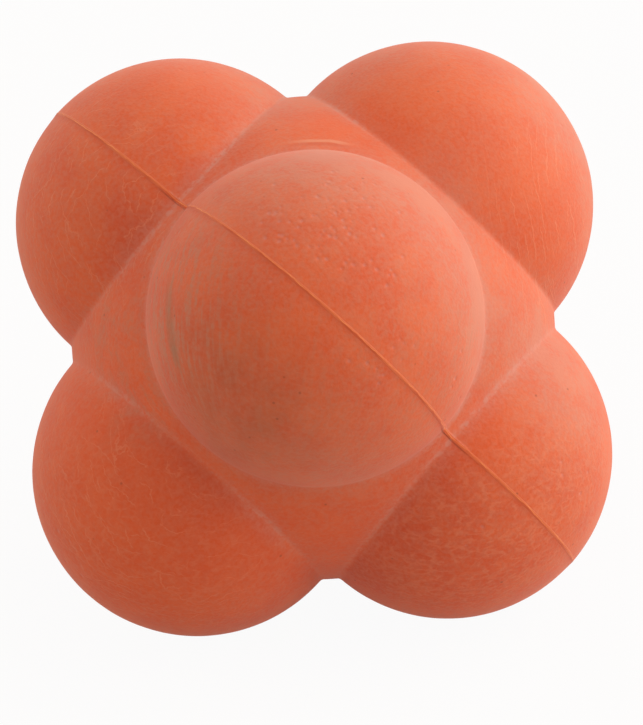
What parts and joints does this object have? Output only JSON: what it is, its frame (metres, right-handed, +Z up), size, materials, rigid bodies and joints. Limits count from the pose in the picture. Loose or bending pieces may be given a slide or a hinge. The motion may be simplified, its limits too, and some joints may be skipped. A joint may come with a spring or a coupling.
{
  "type": "reaction ball",
  "caption": "Lobed rubber reaction ball: round lobes on a hollow core, two moulded half shells bonded at one raised seam, so it bounces off at unpredictable angles.",
  "frame": {"origin": "centre of the ball, which is also the centre of its core and the middle of the seam plane", "axes": "+Z up through the web between the three upper lobes, with the ball standing on its three lower lobes; -Y towards the lobe that faces the viewer"},
  "size_m": [0.0594, 0.0634, 0.0546],
  "materials": {
    "orange_rubber": "matte",
    "seam_gum": "matte"
  },
  "bodies": {
    "root": {"upper_half_shell": "orange_rubber", "lower_half_shell": "orange_rubber", "bonding_gum": "seam_gum"}
  },
  "joints": []
}
